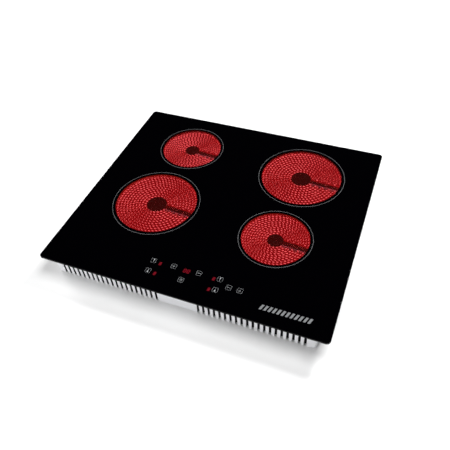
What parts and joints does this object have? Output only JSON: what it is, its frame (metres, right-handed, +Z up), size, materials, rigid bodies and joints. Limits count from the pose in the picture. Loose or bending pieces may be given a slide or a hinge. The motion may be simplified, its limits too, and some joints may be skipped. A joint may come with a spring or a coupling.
{
  "type": "built-in ceramic hob",
  "caption": "Built-in radiant ceramic hob: flat black glass top over a shallow vented sheet-metal casing, with sprung ribbon heaters, touch controls, a fan and hold-down claws.",
  "frame": {"origin": "on the underside, below the centre of the glass top", "axes": "+Z up, -Y towards the controls at the front, +X to the right when facing the controls"},
  "size_m": [0.59, 0.52, 0.053],
  "materials": {
    "black_glass": "polished glass-ceramic, nearly black, red-hot parts show through",
    "foam": "closed-cell foam strip",
    "silicone": "satin black silicone",
    "galvanised": "galvanised sheet",
    "casing_paint": "light grey powder coat",
    "zinc": "zinc-plated steel",
    "spring_steel": "spring steel",
    "insulation": "pressed microporous insulation",
    "hot_ribbon": "corrugated resistance strip, glowing red",
    "quartz": "frosted quartz tube",
    "ceramic": "steatite",
    "circuit_board": "solder-resist green",
    "dark_plastic": "moulded black polyamide",
    "display": "red-tinted display window",
    "relay_plastic": "blue relay case",
    "cable_grey": "flat grey cable",
    "brass": "turned brass"
  },
  "bodies": {
    "hob": {"glass_top": "black_glass", "worktop_seal": "foam", "glass_bond": "silicone", "glass_carrier": "galvanised", "base_casing": "casing_paint", "m4_screws": "zinc", "heat_shield": "galvanised", "heater_rail_left": "galvanised", "heater_rail_right": "galvanised", "heater_spring_rear_left": "spring_steel", "heater_spring_front_left": "spring_steel", "heater_spring_rear_right": "spring_steel", "heater_spring_front_right": "spring_steel", "touch_board": "circuit_board", "board_tray": "dark_plastic", "touch_springs": "spring_steel", "zone_displays": "display", "timer_display": "display", "power_board": "circuit_board", "relays": "relay_plastic", "flat_cable": "cable_grey", "fan_frame": "dark_plastic", "terminal_box": "dark_plastic", "mains_terminals": "brass", "cable_clamp": "dark_plastic", "clamp_bolts": "zinc"},
    "heater_rear_left": {"heater_pan_rear_left": "galvanised", "heater_base_rear_left": "insulation", "heater_wall_rear_left": "insulation", "heater_ribbon_rear_left": "hot_ribbon", "limiter_rod_rear_left": "quartz", "limiter_switch_rear_left": "ceramic", "heater_terminal_rear_left": "ceramic"},
    "heater_front_left": {"heater_pan_front_left": "galvanised", "heater_base_front_left": "insulation", "heater_wall_front_left": "insulation", "heater_ribbon_front_left": "hot_ribbon", "limiter_rod_front_left": "quartz", "limiter_switch_front_left": "ceramic", "heater_terminal_front_left": "ceramic"},
    "heater_rear_right": {"heater_pan_rear_right": "galvanised", "heater_base_rear_right": "insulation", "heater_wall_rear_right": "insulation", "heater_ribbon_rear_right": "hot_ribbon", "limiter_rod_rear_right": "quartz", "limiter_switch_rear_right": "ceramic", "heater_terminal_rear_right": "ceramic"},
    "heater_front_right": {"heater_pan_front_right": "galvanised", "heater_base_front_right": "insulation", "heater_wall_front_right": "insulation", "heater_ribbon_front_right": "hot_ribbon", "limiter_rod_front_right": "quartz", "limiter_switch_front_right": "ceramic", "heater_terminal_front_right": "ceramic"},
    "fan": {"fan_rotor": "dark_plastic"},
    "connection_lid": {"terminal_cover": "dark_plastic"},
    "claw_front_left": {"hold_clamp_front_left": "zinc"},
    "claw_rear_left": {"hold_clamp_rear_left": "zinc"},
    "claw_front_right": {"hold_clamp_front_right": "zinc"},
    "claw_rear_right": {"hold_clamp_rear_right": "zinc"}
  },
  "joints": [
    {"name": "heater_float_rear_left", "type": "slide", "parent": "hob", "child": "heater_rear_left", "axis": [0, 0, 1], "range_m": [-0.003, 0], "stiffness_N_per_m": 6000, "springref_m": 0.004, "deforming": ["heater_spring_rear_left"]},
    {"name": "heater_float_front_left", "type": "slide", "parent": "hob", "child": "heater_front_left", "axis": [0, 0, 1], "range_m": [-0.003, 0], "stiffness_N_per_m": 6000, "springref_m": 0.004, "deforming": ["heater_spring_front_left"]},
    {"name": "heater_float_rear_right", "type": "slide", "parent": "hob", "child": "heater_rear_right", "axis": [0, 0, 1], "range_m": [-0.003, 0], "stiffness_N_per_m": 6000, "springref_m": 0.004, "deforming": ["heater_spring_rear_right"]},
    {"name": "heater_float_front_right", "type": "slide", "parent": "hob", "child": "heater_front_right", "axis": [0, 0, 1], "range_m": [-0.003, 0], "stiffness_N_per_m": 6000, "springref_m": 0.004, "deforming": ["heater_spring_front_right"]},
    {"name": "fan_spin", "type": "hinge", "parent": "hob", "child": "fan", "pos_m": [0.205, -0.196, 0.0095], "axis": [0, 0, 1], "continuous": true},
    {"name": "lid_hinge", "type": "hinge", "parent": "hob", "child": "connection_lid", "pos_m": [0.005, 0.1772, 0.0022], "axis": [-1, 0, 0], "range_deg": [0, 95]},
    {"name": "claw_swing_front_left", "type": "hinge", "parent": "hob", "child": "claw_front_left", "pos_m": [-0.2757, -0.2, 0.008], "axis": [0, 0, 1], "range_deg": [0, 90]},
    {"name": "claw_swing_rear_left", "type": "hinge", "parent": "hob", "child": "claw_rear_left", "pos_m": [-0.2757, 0.18, 0.008], "axis": [0, 0, -1], "range_deg": [0, 90]},
    {"name": "claw_swing_front_right", "type": "hinge", "parent": "hob", "child": "claw_front_right", "pos_m": [0.2757, -0.2, 0.008], "axis": [0, 0, -1], "range_deg": [0, 90]},
    {"name": "claw_swing_rear_right", "type": "hinge", "parent": "hob", "child": "claw_rear_right", "pos_m": [0.2757, 0.18, 0.008], "axis": [0, 0, 1], "range_deg": [0, 90]}
  ]
}
